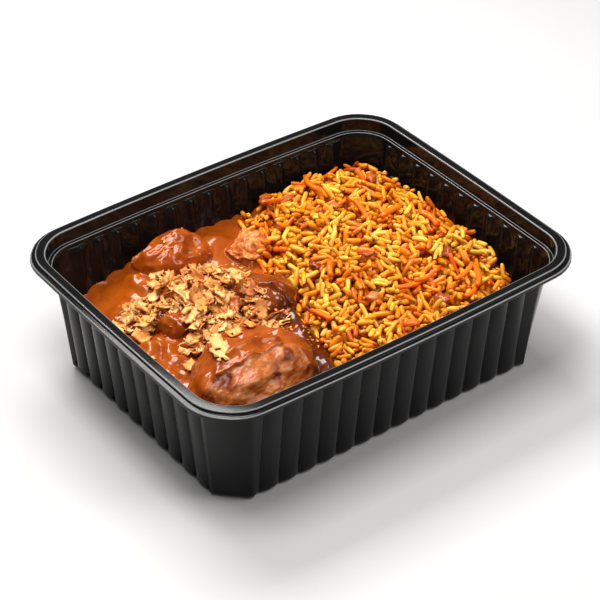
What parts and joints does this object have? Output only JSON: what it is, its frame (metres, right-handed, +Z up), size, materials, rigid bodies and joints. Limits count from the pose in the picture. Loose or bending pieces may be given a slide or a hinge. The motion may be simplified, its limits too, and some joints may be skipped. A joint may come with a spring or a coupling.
{
  "type": "ready meal in a plastic tray",
  "caption": "Rectangular fluted black plastic tray filled with sauced chicken pieces under fried onion flakes, beside a heap of yellow fried rice with carrot strips.",
  "frame": {"origin": "middle of the tray's flat base, on the surface that it stands on", "axes": "+Z up; +X along the tray's long side, towards the rice; +Y along its short side, towards the far side"},
  "size_m": [0.2268, 0.1832, 0.066],
  "materials": {
    "black_plastic": "smooth thermoformed polypropylene with a soft gloss",
    "peanut_sauce": "thick glossy orange-brown sauce",
    "grilled_chicken": "cooked chicken, glossy where the sauce coats it and fibrous where it is bare",
    "yellow_rice": "moist yellow rice grains with orange carrot strips",
    "fried_onion": "dry crisp golden-brown flakes"
  },
  "bodies": {
    "root": {"tray": "black_plastic", "sauce_pool": "peanut_sauce", "rice_heap": "yellow_rice", "chicken_back": "grilled_chicken", "chicken_bare_chunk": "grilled_chicken", "chicken_middle": "grilled_chicken", "chicken_side": "grilled_chicken", "chicken_front": "grilled_chicken", "onion_heap": "fried_onion"}
  },
  "joints": []
}
